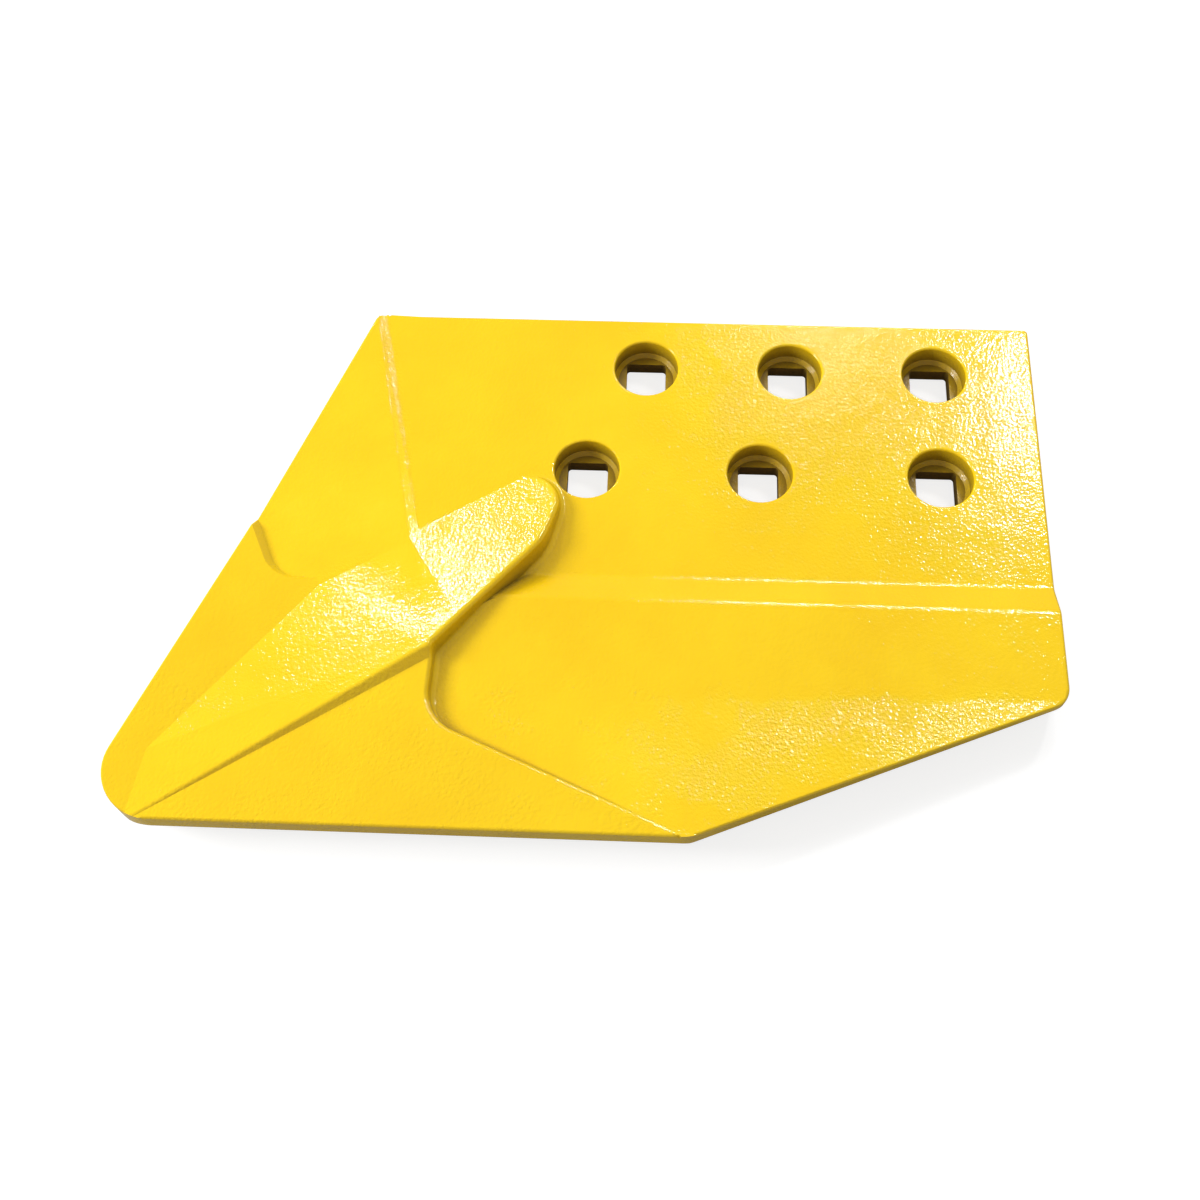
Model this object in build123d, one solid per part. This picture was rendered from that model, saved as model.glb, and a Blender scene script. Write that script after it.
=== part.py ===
from build123d import *
import os
from math import cos, radians, sin, sqrt, tan

# Dozer end bit: one steel casting that bolts to the outer lower corner of a dozer blade.
# It lies on its flat back. +Z points out of the worn front face and +Y towards the top edge.
# The origin is on the back face, in line with the inboard bolt column, midway between the bolt rows.
# All sizes are in millimetres and all angles in degrees.

# Bolt holes for plough bolts with a round head and a square neck
bolt_row_spacing = 104.8
upper_bolt_pitch = 127.0
lower_inboard_pitch = 154.0
lower_outboard_pitch = 148.5
bolt_square = 35.0
bolt_square_corner = 3.0
bolt_seat_radius = 28.0
bolt_seat_depth = 17.0
bolt_seat_cone_depth = 3.5
bolt_rim_radius = 2.0

# Outline of the plate, seen from the front
inboard_margin = 86.5
top_margin = 51.0
overall_height = 485.0
top_length = 585.0
bottom_length = 470.6
outer_edge_angle = 69.4
toe_edge_angle = 22.4
tip_radius = 42.0
toe_radius = 30.0
inboard_toe_radius = 20.0
top_outer_radius = 9.0
top_inboard_radius = 4.0

# Thickness of each level of the front face
pad_thickness = 33.0
wing_thickness = 35.0
band_thickness = 45.5
toe_thickness = 57.0

# Sloped step from the bolting pad to the wear band
band_height = 226.6
band_step_angle = 25.3
band_step_radius = 12.0

# Slanted step from the bolting pad to the wing
wing_step_inset = 3.5
wing_step_lean = 102.6
wing_step_angle = 12.0
wing_step_radius = 8.0

# Lip that rises from the wear band to the toe corner
lip_height = 125.3
lip_lean = 2.1

# Rib: its face climbs from a foot line to a crest and ends in a blunt nose
rib_crest_end_inset = 46.6
rib_crest_angle = 34.5
rib_crest_length = 262.3
rib_crest_end_rise = 0.8
rib_foot_distance = 112.8
rib_foot_angle = 31.9
rib_face_slope = 0.275
rib_outer_face_slope = 0.09
rib_side_angle = 52.0
rib_side_length = 132.0
rib_nose_angle = 76.8
rib_nose_radius = 27.0
rib_shoulder_radius = 50.0
rib_waist_radius = 12.0
rib_toe_wall_angle = 42.0

# Toe block: the flat level between the rib and the bottom edge
toe_wall_angle = 23.0
toe_side_angle = 88.0
toe_wall_radius = 38.0

# Draft of the walls round the rib and the toe block
wall_draft = 12.0
wall_crest_radius = 4.0
wall_foot_radius = 5.0

# Outer facet of the tip, which stands over the wing
facet_height_at_wing = 45.0
facet_end_above_bottom = 217.0
facet_end_inset = 44.5
facet_end_angle = 66.0
facet_end_radius = 28.0
facet_end_draft = 45.0

# Undercut along the bottom edges, which lies level with the ground on the machine
edge_land_bottom = 39.0
undercut_angle = 35.0

# Places worked out from the sizes above
lower_row_y = -bolt_row_spacing / 2
upper_row_y = bolt_row_spacing / 2
top_y = upper_row_y + top_margin
bottom_y = top_y - overall_height
outer_top_x = inboard_margin - top_length
tip_x = outer_top_x - overall_height / tan(radians(outer_edge_angle))
toe_x = tip_x + bottom_length
inboard_toe_y = bottom_y + (inboard_margin - toe_x) * tan(radians(toe_edge_angle))
step_y = bottom_y + band_height
rib_crest_end_x = tip_x + rib_crest_end_inset
rib_crest_x = rib_crest_end_x + rib_crest_length * cos(radians(rib_crest_angle))
rib_crest_y = bottom_y + rib_crest_length * sin(radians(rib_crest_angle))
rib_foot_x = rib_crest_x - rib_foot_distance * sin(radians(rib_foot_angle))
rib_foot_y = rib_crest_y + rib_foot_distance * cos(radians(rib_foot_angle))
facet_end_y = bottom_y + facet_end_above_bottom
facet_end_x = outer_top_x - (top_y - facet_end_y) / tan(radians(outer_edge_angle)) + facet_end_inset

# How far the solids that cut or are cut reach past the casting
beyond = 60.0
tall = 2 * toe_thickness
facet_headroom = 5.0


def heading(angle):
    """Unit vector in plan at an angle from +X."""
    return Vector(cos(radians(angle)), sin(radians(angle)), 0)


def meet(point_a, angle_a, point_b, angle_b):
    """Crossing in plan of two lines, each given by a point and an angle."""
    along_a = heading(angle_a)
    along_b = heading(angle_b)
    gap = Vector(*point_b) - Vector(*point_a)
    cross = along_a.X * along_b.Y - along_a.Y * along_b.X
    reach = (gap.X * along_b.Y - gap.Y * along_b.X) / cross
    crossing = Vector(*point_a) + along_a * reach
    return crossing.X, crossing.Y


def plane_through(point_a, point_b, point_c):
    """Plane through three points, with its normal upwards."""
    edge_ab = Vector(*point_b) - Vector(*point_a)
    edge_ac = Vector(*point_c) - Vector(*point_a)
    normal = edge_ab.cross(edge_ac)
    if normal.Z < 0:
        normal = normal * -1
    return Plane(origin=point_a, x_dir=edge_ab, z_dir=normal)


def height_on(plane, x, y):
    """Height of a plane over a point in plan."""
    normal = plane.z_dir
    origin = plane.origin
    return origin.Z - (normal.X * (x - origin.X) + normal.Y * (y - origin.Y)) / normal.Z


def rounded_face(points, radii, level=0.0):
    """Flat face at a level, with a radius at each corner. The corners run anticlockwise."""
    wire = FilletPolyline(*points, radius=radii, close=True)
    return Pos(0, 0, level) * make_face(wire)


def under(solid, *planes):
    """What is left of a solid under each of the planes."""
    for plane in planes:
        solid = split(solid, bisect_by=plane, keep=Keep.BOTTOM)
    return solid


def lies_on(edge, plane, tolerance=0.01):
    """Whether an edge lies in a plane."""
    gaps = [abs((edge @ place - plane.origin).dot(plane.z_dir)) for place in (0, 0.5, 1)]
    return max(gaps) < tolerance


def with_rounded_foot(floor, walls, level):
    """Walls standing on a floor at a level, with a rounded foot all along them."""
    joined = floor + walls
    foot = [
        edge
        for edge in new_edges(floor, walls, combined=joined)
        if lies_on(edge, Plane.XY.offset(level)) and not lies_on(edge, rib_face_plane())
    ]
    return fillet(foot, radius=wall_foot_radius)


def stepped_profile(low, high, angle, radius, reach):
    """Section of a step that starts at 0 and climbs to the left, with both of its bends rounded."""
    run = (high - low) / tan(radians(angle))
    tangent = radius * tan(radians(angle) / 2)
    top = FilletPolyline(
        (tangent, low),
        (0, low),
        (-run, high),
        (-reach, high),
        radius=radius,
    )
    base = Polyline((-reach, high), (-reach, 0), (tangent, 0), (tangent, low))
    return make_face(top + base)


def outline():
    """Outline of the whole end bit."""
    points = [
        (inboard_margin, top_y),
        (outer_top_x, top_y),
        (tip_x, bottom_y),
        (toe_x, bottom_y),
        (inboard_margin, inboard_toe_y),
    ]
    radii = [top_inboard_radius, top_outer_radius, tip_radius, toe_radius, inboard_toe_radius]
    return rounded_face(points, radii)


def rib_face_plane():
    """Face of the rib: level along its foot line and climbing away from it."""
    foot = Vector(rib_foot_x, rib_foot_y, pad_thickness)
    uphill = heading(rib_foot_angle - 90)
    climbed = foot + uphill + Vector(0, 0, rib_face_slope)
    return plane_through(foot, foot + heading(rib_foot_angle), climbed)


def rib_crest_ends():
    """The crest's corner and the point where it runs out over the bottom edge."""
    corner_z = height_on(rib_face_plane(), rib_crest_x, rib_crest_y)
    corner = Vector(rib_crest_x, rib_crest_y, corner_z)
    end = Vector(rib_crest_end_x, bottom_y, toe_thickness + rib_crest_end_rise)
    return corner, end


def rib_outer_face_plane():
    """Flatter face of the rib, from the crest down towards the tip's outer facet."""
    corner, end = rib_crest_ends()
    aside = heading(rib_crest_angle + 90) + Vector(0, 0, -rib_outer_face_slope)
    return plane_through(corner, end, corner + aside)


def rib_toe_wall_plane():
    """Wall of the rib over the toe block."""
    corner, end = rib_crest_ends()
    aside = heading(rib_crest_angle - 90) + Vector(0, 0, -tan(radians(rib_toe_wall_angle)))
    return plane_through(corner, end, corner + aside)


def facet_plane():
    """Outer facet: level with the wing at the rib, higher along the outer edge and at the tip."""
    at_rib = meet((rib_foot_x, rib_foot_y), rib_foot_angle, (facet_end_x, facet_end_y), 0)
    at_edge = meet((outer_top_x, top_y), outer_edge_angle, (facet_end_x, facet_end_y), 0)
    corner, end = rib_crest_ends()
    return plane_through(
        (at_rib[0], at_rib[1], wing_thickness),
        (at_edge[0], at_edge[1], facet_height_at_wing),
        (end.X, end.Y, toe_thickness),
    )


def lip_plane():
    """Lip: leaves the wear band on a leaning line and reaches the toe's height at the toe corner."""
    start = Vector(inboard_margin, bottom_y + lip_height, band_thickness)
    return plane_through(start, start + heading(lip_lean), (toe_x, bottom_y, toe_thickness))


def bolting_pad(blank, walls):
    """Flat bolting pad, with a rounded foot round the rib's nose."""
    pad = under(blank, Plane.XY.offset(pad_thickness))
    below_step = Plane(origin=(0, step_y - beyond, 0), x_dir=(1, 0, 0), z_dir=(0, -1, 0))
    nose = with_rounded_foot(under(pad, below_step), under(walls, below_step), pad_thickness)
    return pad + nose


def wing(blank):
    """Wing at the outer end, behind the slanted step."""
    profile = stepped_profile(
        pad_thickness, wing_thickness, wing_step_angle, wing_step_radius, top_length
    )
    start = Vector(outer_top_x + wing_step_inset, top_y, 0)
    across = heading(wing_step_lean - 90)
    run = (wing_thickness - pad_thickness) / tan(radians(wing_step_angle))
    along = across.cross(Vector(0, 0, 1))
    section = Plane(origin=start + across * (run / 2), x_dir=across, z_dir=along)
    bar = extrude(section * profile, amount=overall_height + beyond, both=True)
    return bar & blank


def right_of_rib(solid):
    """What is left of a solid inboard of the rib's crest line."""
    along = heading(rib_side_angle)
    side = Plane(origin=(rib_crest_x, rib_crest_y, 0), x_dir=along, z_dir=along.cross(Vector(0, 0, 1)))
    return split(solid, bisect_by=side, keep=Keep.TOP)


def wear_band(blank, walls):
    """Raised wear band inboard of the rib, with the sloped step above it."""
    step_line = Plane(origin=(0, step_y, 0), x_dir=(-1, 0, 0), z_dir=(0, 1, 0))
    floor = under(right_of_rib(blank), Plane.XY.offset(band_thickness), step_line)
    band = with_rounded_foot(floor, under(walls, step_line), band_thickness)
    step = stepped_profile(
        pad_thickness, band_thickness, band_step_angle, band_step_radius, overall_height
    )
    slope = tan(radians(band_step_angle))
    run = (band_thickness - pad_thickness) / slope
    start = run + band_step_radius * tan(radians(band_step_angle) / 2)
    end = overall_height
    over = Polyline(
        (-start, band_thickness),
        (-end, band_thickness + (end - start) * slope),
        (-end, band_thickness),
        close=True,
    )
    section = Plane(origin=(tip_x - beyond, step_y, 0), x_dir=(0, 1, 0), z_dir=(1, 0, 0))
    length = inboard_margin - tip_x + 2 * beyond
    step_bar = extrude(section * step, amount=length)
    over_bar = extrude(section * make_face(over), amount=length)
    return (band & (step_bar + over_bar)) + right_of_rib(step_bar & blank)


def lip(blank):
    """Lip below the wear band, inboard of the toe block."""
    low = Plane(origin=(0, step_y - beyond / 2, 0), x_dir=(-1, 0, 0), z_dir=(0, 1, 0))
    return right_of_rib(under(blank, low, lip_plane()))


def raised_walls():
    """Drafted walls round the rib and the toe block, drawn at the toe block's level."""
    corner, end = rib_crest_ends()
    spread = (corner.Z - toe_thickness) * tan(radians(wall_draft))
    crest = corner + heading(rib_side_angle - 90) * spread
    crest = (crest.X, crest.Y)
    past_toe = Vector(toe_x, bottom_y, 0) + heading(-toe_wall_angle) * beyond
    bend = meet((toe_x, bottom_y), -toe_wall_angle, crest, toe_side_angle)
    shoulder = Vector(*crest) + heading(rib_side_angle) * rib_side_length
    shoulder = (shoulder.X, shoulder.Y)
    nose = meet(shoulder, rib_nose_angle, (rib_foot_x, rib_foot_y), rib_foot_angle)
    far = meet(nose, rib_foot_angle, (tip_x - beyond, 0), 90)
    points = [
        far,
        (tip_x - beyond, bottom_y - beyond),
        (past_toe.X, bottom_y - beyond),
        (past_toe.X, past_toe.Y),
        bend,
        crest,
        shoulder,
        nose,
    ]
    radii = [0, 0, 0, 0, toe_wall_radius, rib_waist_radius, rib_shoulder_radius, rib_nose_radius]
    face = rounded_face(points, radii, toe_thickness)
    above = extrude(face, amount=tall - toe_thickness, taper=wall_draft)
    return above + extrude(face, amount=pad_thickness / 2 - toe_thickness, taper=-wall_draft)


def toe_block(walls):
    """Flat toe level between the rib's crest and the bottom edge, with a rounded rim."""
    level = Plane.XY.offset(toe_thickness)
    flat = under(walls, level)
    rim = [
        edge
        for edge in flat.edges()
        if lies_on(edge, level)
        and edge.center().X > rib_crest_x - wall_crest_radius
        and bottom_y < edge.center().Y < rib_crest_y
    ]
    flat = fillet(rim, radius=wall_crest_radius)
    along = heading(rib_crest_angle)
    crest = Plane(origin=(rib_crest_x, rib_crest_y, 0), x_dir=along, z_dir=along.cross(Vector(0, 0, 1)))
    return split(flat, bisect_by=crest, keep=Keep.TOP)


def rib(walls):
    """Rib with a two-part face, a blunt nose, a slanted wall over the toe block and rounded crests."""
    face = rib_face_plane()
    outer_face = rib_outer_face_plane()
    toe_wall = rib_toe_wall_plane()
    body = under(walls, face, outer_face, toe_wall)
    rims = [
        edge
        for edge in body.edges()
        if edge.center().X > rib_crest_x - wall_crest_radius
        and (lies_on(edge, face) or lies_on(edge, toe_wall))
    ]
    crest = [edge for edge in body.edges() if lies_on(edge, outer_face) and lies_on(edge, toe_wall)]
    return fillet(rims + crest, radius=wall_crest_radius)


def outer_facet(blank):
    """Outer facet of the tip, with a sloped end over the wing."""
    corner = (facet_end_x, facet_end_y)
    upper_end = meet(corner, -facet_end_angle, (outer_top_x, top_y), outer_edge_angle)
    past_end = Vector(*upper_end) + heading(180 - facet_end_angle) * beyond
    points = [
        (tip_x - beyond, past_end.Y),
        (tip_x - beyond, bottom_y - beyond),
        (rib_crest_x, bottom_y - beyond),
        (rib_crest_x, facet_end_y),
        corner,
        (past_end.X, past_end.Y),
    ]
    foot = rounded_face(points, [0, 0, 0, 0, facet_end_radius, 0], wing_thickness)
    height = toe_thickness - wing_thickness + facet_headroom
    block = extrude(foot, amount=height, taper=facet_end_draft)
    return under(block, facet_plane()) & blank


def undercut_plane(edge_point, edge_angle):
    """Sloped plane under a bottom edge, which leaves a land above it."""
    along = heading(edge_angle)
    inward = heading(edge_angle + 90)
    edge = Vector(edge_point[0], edge_point[1], edge_land_bottom)
    back = edge + inward * tan(radians(undercut_angle)) + Vector(0, 0, -1)
    return Plane(origin=edge, x_dir=along, z_dir=along.cross(back - edge))


def bolt_places():
    """Centres of the six bolt holes."""
    upper = [(-i * upper_bolt_pitch, upper_row_y) for i in range(3)]
    lower_x = [0, -lower_inboard_pitch, -lower_inboard_pitch - lower_outboard_pitch]
    return upper + [(x, lower_row_y) for x in lower_x]


def bolt_hole():
    """Round seat with a rounded rim and a shallow cone, and a square neck through the back."""
    rim = pad_thickness
    seat = rim - bolt_seat_depth
    neck = seat - bolt_seat_cone_depth
    neck_corner = bolt_square / sqrt(2)
    wall = Line((bolt_seat_radius, seat), (bolt_seat_radius, rim - bolt_rim_radius))
    rounding = RadiusArc(
        (bolt_seat_radius, rim - bolt_rim_radius),
        (bolt_seat_radius + bolt_rim_radius, rim),
        bolt_rim_radius,
    )
    rest = Polyline(
        (bolt_seat_radius + bolt_rim_radius, rim),
        (bolt_seat_radius + bolt_rim_radius, tall),
        (0, tall),
        (0, neck),
        (neck_corner, neck),
        (bolt_seat_radius, seat),
    )
    seat_cut = revolve(Plane.XZ * make_face(wall + rounding + rest), Axis.Z)
    square = RectangleRounded(bolt_square, bolt_square, bolt_square_corner)
    return seat_cut + extrude(square, amount=seat, both=True)


def end_bit():
    """The whole casting."""
    blank = extrude(outline(), amount=tall)
    walls = raised_walls()
    walls = (toe_block(walls) + rib(walls)) & blank
    body = bolting_pad(blank, walls) + wear_band(blank, walls) + walls
    for form in (wing, lip, outer_facet):
        body += form(blank)
    body = split(body, bisect_by=undercut_plane((toe_x, bottom_y), 0), keep=Keep.TOP)
    body = split(body, bisect_by=undercut_plane((toe_x, bottom_y), toe_edge_angle), keep=Keep.TOP)
    hole = bolt_hole()
    for x, y in bolt_places():
        body -= Pos(x, y, 0) * hole
    return body


os.makedirs("parts", exist_ok=True)
export_step(end_bit(), "parts/end_bit.step")
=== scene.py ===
import math

import bmesh
import bpy
from mathutils import Matrix, Vector


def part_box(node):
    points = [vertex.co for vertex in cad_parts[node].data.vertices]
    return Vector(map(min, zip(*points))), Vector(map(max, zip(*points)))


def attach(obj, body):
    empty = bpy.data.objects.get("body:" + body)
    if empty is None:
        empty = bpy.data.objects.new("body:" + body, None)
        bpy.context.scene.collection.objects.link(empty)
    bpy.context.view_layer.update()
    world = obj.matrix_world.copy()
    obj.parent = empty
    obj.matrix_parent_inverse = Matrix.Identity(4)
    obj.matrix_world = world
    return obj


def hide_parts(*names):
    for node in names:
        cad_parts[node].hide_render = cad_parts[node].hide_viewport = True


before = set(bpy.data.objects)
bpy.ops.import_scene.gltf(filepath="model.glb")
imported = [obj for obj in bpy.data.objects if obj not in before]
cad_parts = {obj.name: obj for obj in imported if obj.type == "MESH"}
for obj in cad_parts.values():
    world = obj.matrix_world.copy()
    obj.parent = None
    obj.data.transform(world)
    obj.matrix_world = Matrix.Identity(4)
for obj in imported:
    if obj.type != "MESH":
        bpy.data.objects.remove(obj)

# Lengths are in metres. Names that end in DEGREES are in degrees.

# Rounding along the front rim. At the run-outs it would be longer than the face it runs into.
RIM_ROUNDING = 0.0025
RIM_ROUNDING_STEPS = 3
RIM_LOWEST = 0.025
UPRIGHT_LIMIT = 0.05
FACING_UP_LIMIT = 0.5
RIM_RUN_OUTS = [
    # place in plan, reach
    ((-0.212, -0.380), 0.010),
    ((-0.631, -0.379), 0.008),
    ((-0.489, 0.1015), 0.003),
]

# Shading
MERGE_DISTANCE = 1e-6
SHARP_LIMIT = math.radians(32.0)
FLAT_LIMIT = math.radians(0.3)
CREASE_LIMIT = math.radians(1.0)
WIDE_REGION = 0.005

# Paint
PAINT_TONE_SCALE = 9.0
PAINT_TONES = [
    (0.30, (0.89, 0.56, 0.004)),
    (0.62, (0.93, 0.62, 0.006)),
    (0.80, (0.96, 0.66, 0.012)),
]
PAINT_IOR = 1.5
GLOSS_SCALE = 60.0
GLOSSIEST = 0.06
LEAST_GLOSSY = 0.12

# Painted shade in holes and at the feet of walls: ambient occlusion browns the paint there and makes it
# duller
PAINTED_SHADE_TONE = (0.10, 0.055, 0.002)
HOLLOW_ROUGHNESS = 0.7
HOLLOW_REACH = 0.045
HOLLOW_DEEP = 0.42
HOLLOW_OPEN = 0.80
HOLLOW_SAMPLES = 6

# Cast surface: slow waves, and a grain that is rougher in patches at the worn end
WAVE_SCALE = 38.0
WAVE_STRENGTH = 0.12
WAVE_HEIGHT = 0.004
GRAIN_SCALE = 360.0
GRAIN_DETAIL = 1.8
GRAIN_STRENGTH = 0.32
GRAIN_HEIGHT = 0.0009
ROUGH_PATCH_SCALE = 24.0
ROUGH_PATCH_STARTS = 0.40
ROUGH_PATCH_FULL = 0.62
ROUGH_PATCH_STRENGTH = 0.50
WORN_END_Y = -0.248
WORN_END_RISE_PER_METRE = 60.0

# Floor and light
FLOOR_TONE = 0.35
FLOOR_ROUGHNESS = 0.9
FLOOR_GLOW = 0.78
FLOOR_REACH = 6.0
FLOOR_LEVEL = -0.0002
WORLD_STRENGTH = 0.40
LIT_PLACE = Vector((-0.29, -0.14, 0.03))
LAMPS = [
    # name, direction from the lit place, distance, width and height, watts
    ("rear_right", (0.36, 0.565, 0.743), 4.5, (0.35, 0.5), 42.0),
    ("rear_middle", (0.150, 0.635, 0.758), 4.5, (0.12, 0.30), 6.0),
    ("rear_left", (-0.37, 0.754, 0.542), 4.5, (0.4, 0.35), 24.0),
    ("rear_low", (0.20, 0.775, 0.60), 4.5, (1.1, 0.2), 40.0),
    ("side", (-0.85, -0.05, 0.52), 4.0, (1.2, 1.2), 125.0),
]

# Camera at the photograph's viewpoint. The lens and the sensor are in millimetres.
CAMERA_PLACE = (-0.25016, -0.68725, 1.10924)
CAMERA_ELEVATION_DEGREES = 64.581
CAMERA_YAW_DEGREES = 4.055
CAMERA_ROLL_DEGREES = -2.0
CAMERA_LENS = 43.50
CAMERA_SENSOR = 36.0
CAMERA_NEAREST = 0.01

BLACK = (0.0, 0.0, 0.0)
WHITE = (1.0, 1.0, 1.0)
SCENE = bpy.context.scene
LINK = SCENE.collection.objects.link
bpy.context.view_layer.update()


def grey(value):
    return (value, value, value)


def new_material(name):
    """A material with only its Principled shader and its output."""
    material = bpy.data.materials.new(name)
    material.use_nodes = True
    tree = material.node_tree
    tree.nodes.clear()
    output = tree.nodes.new("ShaderNodeOutputMaterial")
    shader = tree.nodes.new("ShaderNodeBsdfPrincipled")
    tree.links.new(shader.outputs["BSDF"], output.inputs["Surface"])
    return material, tree, shader


def feed(tree, socket, value):
    """Give a socket its value: another socket, a number or a plain colour."""
    if isinstance(value, (int, float)):
        socket.default_value = value
    elif isinstance(value, tuple):
        socket.default_value = (*value, 1.0)
    else:
        tree.links.new(value, socket)


def object_place(tree):
    """The object's own coordinates."""
    return tree.nodes.new("ShaderNodeTexCoord").outputs["Object"]


def noise_node(tree, scale, detail, roughness):
    """Noise over the object's own coordinates."""
    node = tree.nodes.new("ShaderNodeTexNoise")
    feed(tree, node.inputs["Vector"], object_place(tree))
    feed(tree, node.inputs["Scale"], scale)
    feed(tree, node.inputs["Detail"], detail)
    feed(tree, node.inputs["Roughness"], roughness)
    return node.outputs["Fac"]


def ramp_node(tree, value, stops):
    """Colour ramp: stops is a list of (position, colour)."""
    node = tree.nodes.new("ShaderNodeValToRGB")
    feed(tree, node.inputs["Fac"], value)
    elements = node.color_ramp.elements
    while len(elements) < len(stops):
        elements.new(0.5)
    for element, (position, colour) in zip(elements, stops):
        element.position = position
        element.color = (*colour, 1.0)
    return node.outputs["Color"]


def math_node(tree, operation, first, second):
    """Math node over two sockets or numbers."""
    node = tree.nodes.new("ShaderNodeMath")
    node.operation = operation
    feed(tree, node.inputs[0], first)
    feed(tree, node.inputs[1], second)
    return node.outputs["Value"]


def mix_colour(tree, factor, first, second):
    """Mix of two colours. The node's colour sockets share their names with others, so they go by number."""
    node = tree.nodes.new("ShaderNodeMix")
    node.data_type = "RGBA"
    feed(tree, node.inputs["Factor"], factor)
    feed(tree, node.inputs[6], first)
    feed(tree, node.inputs[7], second)
    return node.outputs[2]


def bump_node(tree, height, strength, distance, normal=None):
    """Bump from a height, over another normal when one is given."""
    bump = tree.nodes.new("ShaderNodeBump")
    feed(tree, bump.inputs["Height"], height)
    feed(tree, bump.inputs["Strength"], strength)
    feed(tree, bump.inputs["Distance"], distance)
    if normal is not None:
        feed(tree, bump.inputs["Normal"], normal)
    return bump.outputs["Normal"]


def hollow_mask(tree):
    """Mask of the painted shade, from ambient occlusion: from 0 in the open to 1 in holes and at the feet
    of walls.
    """
    node = tree.nodes.new("ShaderNodeAmbientOcclusion")
    node.samples = HOLLOW_SAMPLES
    feed(tree, node.inputs["Distance"], HOLLOW_REACH)
    return ramp_node(tree, node.outputs["AO"], [(HOLLOW_DEEP, WHITE), (HOLLOW_OPEN, BLACK)])


def worn_end_mask(tree):
    """From 0 on the bolting pad and the band to 1 below them."""
    split = tree.nodes.new("ShaderNodeSeparateXYZ")
    feed(tree, split.inputs["Vector"], object_place(tree))
    below = math_node(tree, "SUBTRACT", WORN_END_Y, split.outputs["Y"])
    rise = math_node(tree, "MULTIPLY", below, WORN_END_RISE_PER_METRE)
    return ramp_node(tree, rise, [(0.0, BLACK), (1.0, WHITE)])


def paint_colour(tree, hollow):
    """Yellow that varies slowly in tone, browned by painted shade in the hollows."""
    tint = ramp_node(tree, noise_node(tree, PAINT_TONE_SCALE, 5.0, 0.6), PAINT_TONES)
    # Painted shade: the hollows are mixed towards a dark brown.
    return mix_colour(tree, hollow, tint, PAINTED_SHADE_TONE)


def paint_roughness(tree, hollow):
    """Gloss that varies a little, and duller paint in the hollows where the shade is painted."""
    stops = [(0.3, grey(GLOSSIEST)), (0.7, grey(LEAST_GLOSSY))]
    gloss = ramp_node(tree, noise_node(tree, GLOSS_SCALE, 4.0, 0.6), stops)
    # Duller paint in the hollows where the shade is painted.
    hollow_dullness = math_node(tree, "MULTIPLY", hollow, HOLLOW_ROUGHNESS)
    return math_node(tree, "MAXIMUM", gloss, hollow_dullness)


def cast_normal(tree):
    """Slow waves and grain of the casting under its paint."""
    waves = bump_node(tree, noise_node(tree, WAVE_SCALE, 2.0, 0.5), WAVE_STRENGTH, WAVE_HEIGHT)
    stops = [(ROUGH_PATCH_STARTS, BLACK), (ROUGH_PATCH_FULL, WHITE)]
    patches = ramp_node(tree, noise_node(tree, ROUGH_PATCH_SCALE, 3.0, 0.6), stops)
    rougher = math_node(tree, "MULTIPLY", worn_end_mask(tree), patches)
    added = math_node(tree, "MULTIPLY", rougher, ROUGH_PATCH_STRENGTH)
    strength = math_node(tree, "ADD", GRAIN_STRENGTH, added)
    grain = noise_node(tree, GRAIN_SCALE, GRAIN_DETAIL, 0.5)
    return bump_node(tree, grain, strength, GRAIN_HEIGHT, waves)


def yellow_paint():
    """Glossy yellow paint over a rough casting, with painted shade in its hollows."""
    material, tree, shader = new_material("yellow_paint")
    hollow = hollow_mask(tree)
    feed(tree, shader.inputs["Base Color"], paint_colour(tree, hollow))
    feed(tree, shader.inputs["Roughness"], paint_roughness(tree, hollow))
    feed(tree, shader.inputs["Normal"], cast_normal(tree))
    feed(tree, shader.inputs["IOR"], PAINT_IOR)
    return material


def runs_out(edge):
    """Whether the edge lies where a rounding would be longer than the face it runs into."""
    middle = (edge.verts[0].co.xy + edge.verts[1].co.xy) / 2
    return any((middle - Vector(place)).length < reach for place, reach in RIM_RUN_OUTS)


def is_front_rim(edge):
    """Whether the edge joins a front face and an upright side, above the bolt holes' floors."""
    if len(edge.link_faces) != 2 or not edge.is_convex or edge.verts[0].co.z < RIM_LOWEST:
        return False
    flat, steep = sorted(edge.link_faces, key=lambda face: -face.normal.z)
    return abs(steep.normal.z) < UPRIGHT_LIMIT and flat.normal.z > FACING_UP_LIMIT


def round_front_rim(edit):
    """Round the front rim, as cast."""
    bmesh.ops.bevel(
        edit,
        geom=[edge for edge in edit.edges if is_front_rim(edge) and not runs_out(edge)],
        offset=RIM_ROUNDING,
        offset_type="OFFSET",
        segments=RIM_ROUNDING_STEPS,
        profile=0.5,
        affect="EDGES",
        clamp_overlap=False,
    )


def keep_inside(edit, low, high):
    """Bring each vertex back inside a box."""
    for vert in edit.verts:
        vert.co = Vector(min(max(place, a), b) for place, a, b in zip(vert.co, low, high))


def bend(edge):
    """Angle between the edge's two faces."""
    return edge.calc_face_angle(math.pi)


def flat_region(start):
    """Faces joined to this one without a bend."""
    region = {start}
    waiting = [start]
    while waiting:
        for edge in waiting.pop().edges:
            if bend(edge) > FLAT_LIMIT:
                continue
            for face in edge.link_faces:
                if face not in region:
                    region.add(face)
                    waiting.append(face)
    return region


def is_wide(region):
    """Whether a flat region is a face of the casting and not a facet of a rounding."""
    axes = zip(*(vert.co for face in region for vert in face.verts))
    longest = max(max(axis) - min(axis) for axis in axes)
    return sum(face.calc_area() for face in region) > WIDE_REGION * longest


def wide_faces(edit):
    """The faces that belong to wide flat regions."""
    wide = set()
    seen = set()
    for face in edit.faces:
        if face in seen:
            continue
        region = flat_region(face)
        seen |= region
        if is_wide(region):
            wide |= region
    return wide


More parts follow.
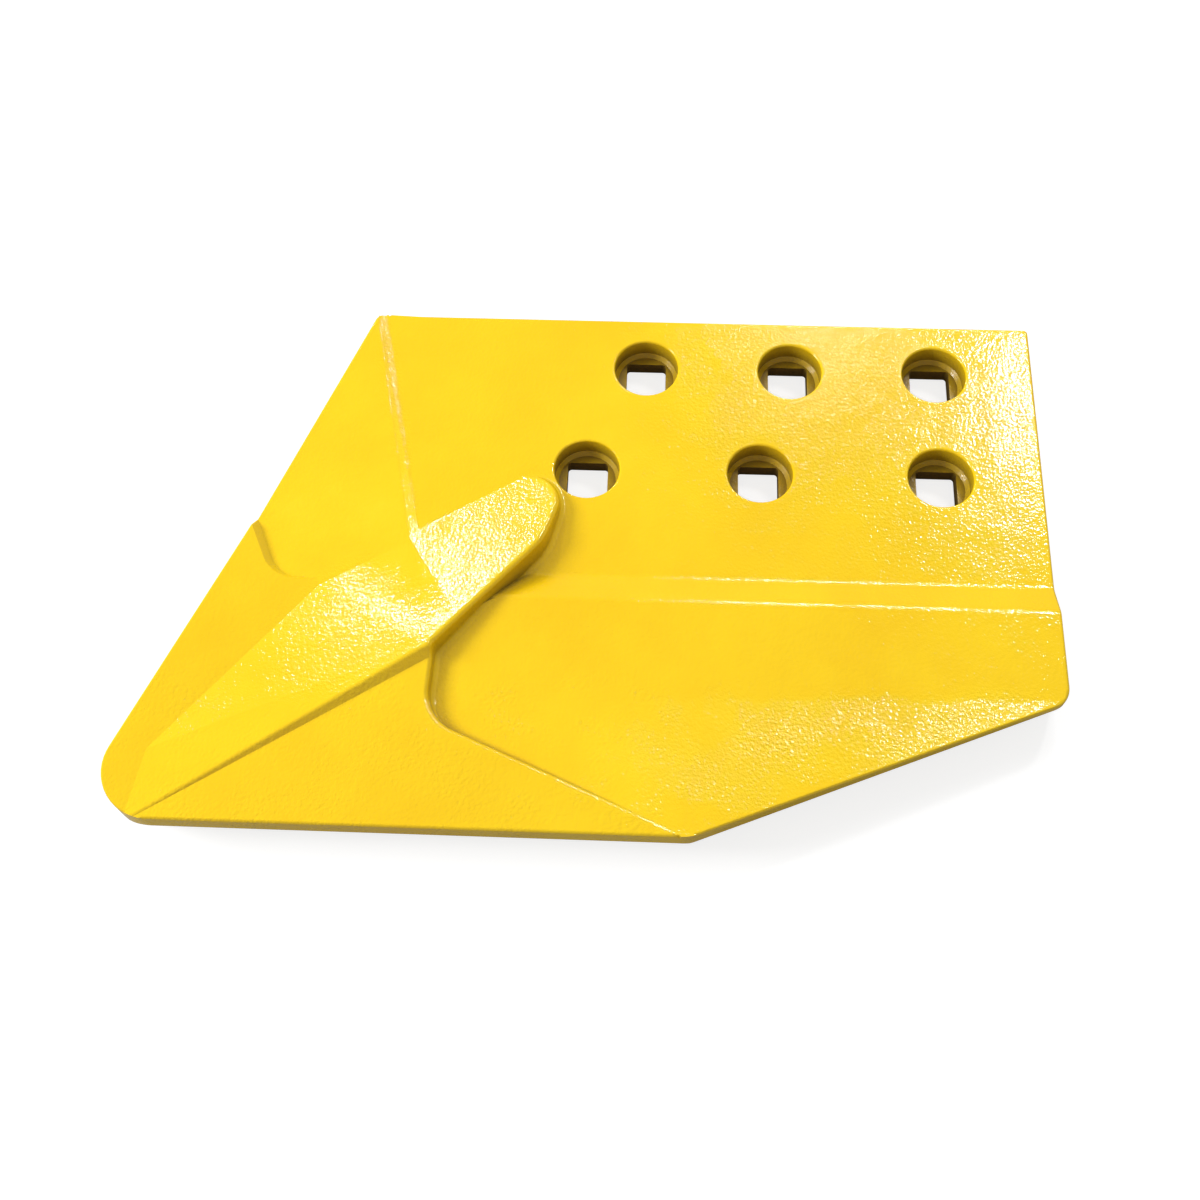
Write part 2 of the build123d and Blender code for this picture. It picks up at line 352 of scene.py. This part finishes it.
def mark_sharp(edit):
    """Keep the shading apart at sharp edges and at creases between wide flat faces."""
    wide = wide_faces(edit)
    for edge in edit.edges:
        between_wide = all(face in wide for face in edge.link_faces)
        edge.smooth = bend(edge) <= (CREASE_LIMIT if between_wide else SHARP_LIMIT)


def cast_mesh(node_name):
    """The CAD node's own mesh, with its front rim rounded and its shading marked."""
    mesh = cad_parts[node_name].data.copy()
    mesh.name = node_name + "_cast"
    edit = bmesh.new()
    edit.from_mesh(mesh)
    bmesh.ops.remove_doubles(edit, verts=edit.verts, dist=MERGE_DISTANCE)
    edit.normal_update()
    round_front_rim(edit)
    bmesh.ops.triangulate(edit, faces=edit.faces)
    keep_inside(edit, *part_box(node_name))
    edit.normal_update()
    for face in edit.faces:
        face.smooth = True
    mark_sharp(edit)
    edit.to_mesh(mesh)
    edit.free()
    return mesh


def cast_piece(node_name, material):
    """The painted casting, shown in place of its CAD node."""
    mesh = cast_mesh(node_name)
    mesh.materials.clear()
    mesh.materials.append(material)
    piece = bpy.data.objects.new(mesh.name, mesh)
    LINK(piece)
    piece.modifiers.new("Normals", "WEIGHTED_NORMAL").keep_sharp = True
    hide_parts(node_name)
    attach(piece, "root")


def floor_material():
    """Pale floor that looks white to the camera and still keeps the part's shadow."""
    material, tree, shader = new_material("floor")
    path = tree.nodes.new("ShaderNodeLightPath")
    glow = math_node(tree, "MULTIPLY", path.outputs["Is Camera Ray"], FLOOR_GLOW)
    feed(tree, shader.inputs["Base Color"], grey(FLOOR_TONE))
    feed(tree, shader.inputs["Roughness"], FLOOR_ROUGHNESS)
    feed(tree, shader.inputs["Emission Color"], WHITE)
    feed(tree, shader.inputs["Emission Strength"], glow)
    return material


def floor():
    """Plain floor just under the part."""
    mesh = bpy.data.meshes.new("floor")
    plan = [(-1, -1), (1, -1), (1, 1), (-1, 1)]
    corners = [(x * FLOOR_REACH, y * FLOOR_REACH, FLOOR_LEVEL) for x, y in plan]
    mesh.from_pydata(corners, [], [(0, 1, 2, 3)])
    mesh.materials.append(floor_material())
    ground = bpy.data.objects.new("floor", mesh)
    LINK(ground)


def area_light(name, direction, distance, size, power):
    """Rectangular lamp that stands in a direction from the lit place and faces it."""
    lamp = bpy.data.lights.new(name, "AREA")
    lamp.shape = "RECTANGLE"
    lamp.size, lamp.size_y = size
    lamp.energy = power
    holder = bpy.data.objects.new(name, lamp)
    away = Vector(direction).normalized()
    holder.location = LIT_PLACE + away * distance
    holder.rotation_mode = "QUATERNION"
    holder.rotation_quaternion = away.to_track_quat("Z", "Y")
    LINK(holder)


def world_light():
    """Even light from all round."""
    world = bpy.data.worlds.new("studio")
    world.use_nodes = True
    background = world.node_tree.nodes["Background"]
    background.inputs["Color"].default_value = (*WHITE, 1.0)
    background.inputs["Strength"].default_value = WORLD_STRENGTH
    SCENE.world = world


def camera():
    """Camera at the photograph's viewpoint."""
    data = bpy.data.cameras.new("camera")
    data.lens = CAMERA_LENS
    data.sensor_width = CAMERA_SENSOR
    data.clip_start = CAMERA_NEAREST
    holder = bpy.data.objects.new("camera", data)
    turn = (
        Matrix.Rotation(math.radians(CAMERA_YAW_DEGREES), 4, "Z")
        @ Matrix.Rotation(math.radians(90.0 - CAMERA_ELEVATION_DEGREES), 4, "X")
        @ Matrix.Rotation(math.radians(CAMERA_ROLL_DEGREES), 4, "Z")
    )
    holder.matrix_world = Matrix.Translation(CAMERA_PLACE) @ turn
    LINK(holder)
    SCENE.camera = holder


SCENE.view_settings.view_transform = "Standard"
camera()
cast_piece("end_bit", yellow_paint())
floor()
for lamp_facts in LAMPS:
    area_light(*lamp_facts)
world_light()
